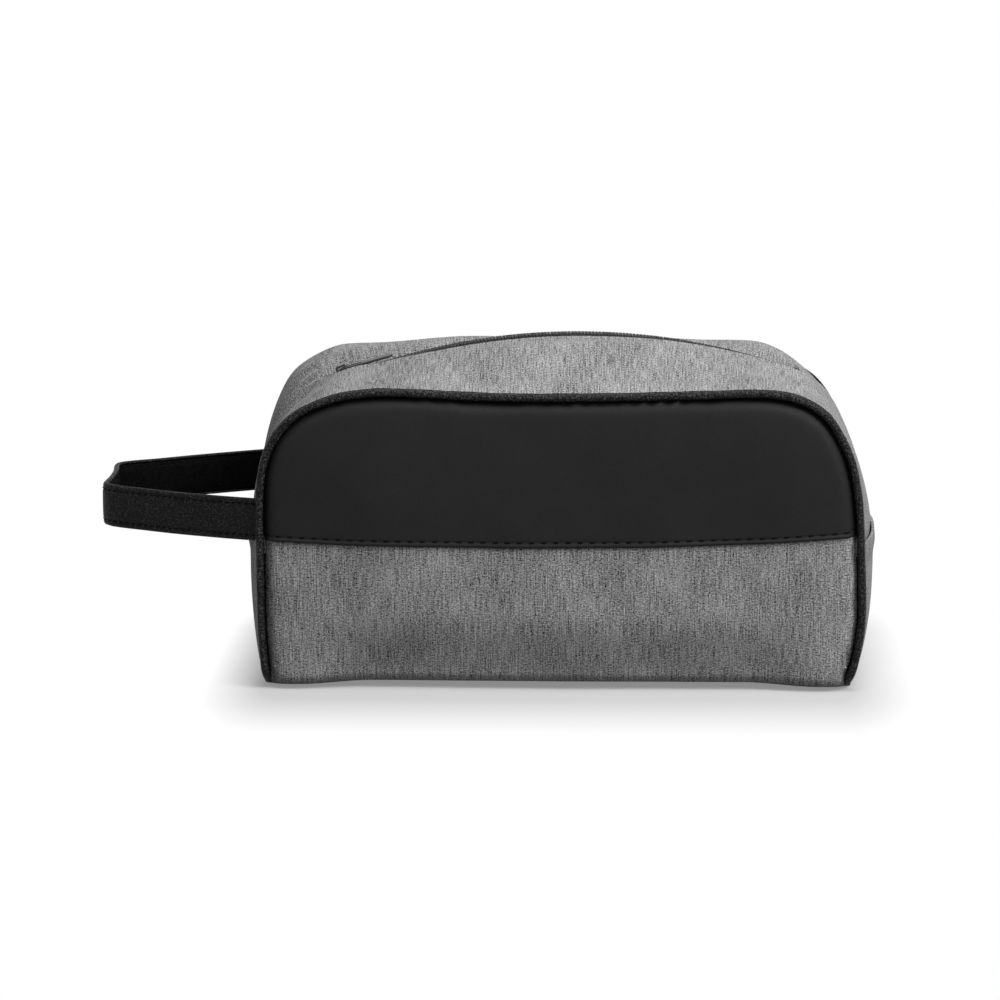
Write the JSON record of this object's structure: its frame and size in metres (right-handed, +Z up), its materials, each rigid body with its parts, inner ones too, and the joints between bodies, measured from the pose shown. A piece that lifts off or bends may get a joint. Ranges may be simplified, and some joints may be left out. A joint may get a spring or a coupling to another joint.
{
  "type": "toiletry bag",
  "caption": "Soft toiletry bag: grey canvas with a smooth black upper panel, piped edges, an arched zip over the top and a wrist loop on one end.",
  "frame": {"origin": "middle of the flat base, on the surface that the bag stands on", "axes": "+X along the bag, away from the wrist loop; +Y from the front panel to the back; +Z up"},
  "size_m": [0.3398, 0.1272, 0.1489],
  "materials": {
    "grey_canvas": "heather canvas, matte, dark and pale grey yarns",
    "overlay_cloth": "smooth coated cloth, matte, near black",
    "leatherette": "black leather-look cloth, fine grain, semi-matte",
    "lining": "plain black nylon lining",
    "binding_tape": "black ribbed binding tape",
    "foam": "thin open-cell foam, stated as fabric because the list has no foam",
    "cord": "solid plastic filler cord",
    "strap_core": "woven webbing",
    "zip_tape": "black woven zip tape",
    "zip_coil": "black nylon coil",
    "dark_metal": "dark painted zinc, satin"
  },
  "bodies": {
    "bag": {"back_binding": "binding_tape", "back_foam": "foam", "back_lining": "lining", "back_overlay": "overlay_cloth", "back_piping": "leatherette", "back_piping_cord": "cord", "back_strap_end": "leatherette", "base_lining": "lining", "canvas_body": "grey_canvas", "front_binding": "binding_tape", "front_foam": "foam", "front_lining": "lining", "front_overlay": "overlay_cloth", "front_piping": "leatherette", "front_piping_cord": "cord", "front_strap_end": "leatherette", "left_end_gusset": "grey_canvas", "left_end_lining": "lining", "left_shoulder_gusset": "grey_canvas", "left_zip_coil_end": "zip_coil", "left_zip_stop": "dark_metal", "left_zip_tape_end": "zip_tape", "right_end_gusset": "grey_canvas", "right_end_lining": "lining", "right_shoulder_gusset": "grey_canvas", "right_zip_coil_end": "zip_coil", "right_zip_stop": "dark_metal", "right_zip_tape_end": "zip_tape"},
    "front_flap": {"front_top_gusset": "grey_canvas", "front_top_lining": "lining", "front_zip_tape": "zip_tape", "front_zip_coil": "zip_coil"},
    "back_flap": {"back_top_gusset": "grey_canvas", "back_top_lining": "lining", "back_zip_tape": "zip_tape", "back_zip_coil": "zip_coil"},
    "slider": {"slider_body": "dark_metal", "slider_bridge": "dark_metal"},
    "pull": {"zip_pull": "dark_metal"},
    "loop": {"loop_cover": "leatherette", "loop_core": "strap_core", "loop_backing": "leatherette"}
  },
  "joints": [
    {"name": "zip_travel", "type": "hinge", "parent": "bag", "child": "slider", "pos_m": [0.0084, 0, -0.1327], "axis": [0, 1, 0], "range_deg": [0, 40.56]},
    {"name": "pull_swing", "type": "hinge", "parent": "slider", "child": "pull", "pos_m": [-0.09669, 0, 0.13126], "axis": [0, -1, 0], "range_deg": [0, 150]},
    {"name": "loop_swing", "type": "hinge", "parent": "bag", "child": "loop", "pos_m": [-0.145, 0, 0.075], "axis": [0, 1, 0], "range_deg": [-30, 30], "stiffness_Nm_per_rad": 0.15, "springref_deg": 1.03},
    {"name": "front_flap_open", "type": "hinge", "parent": "bag", "child": "front_flap", "pos_m": [0, -0.0552, 0.1294], "axis": [1, 0, 0], "range_deg": [0, 55]},
    {"name": "back_flap_open", "type": "hinge", "parent": "bag", "child": "back_flap", "pos_m": [0, 0.0552, 0.1294], "axis": [-1, 0, 0], "range_deg": [0, 55]}
  ]
}
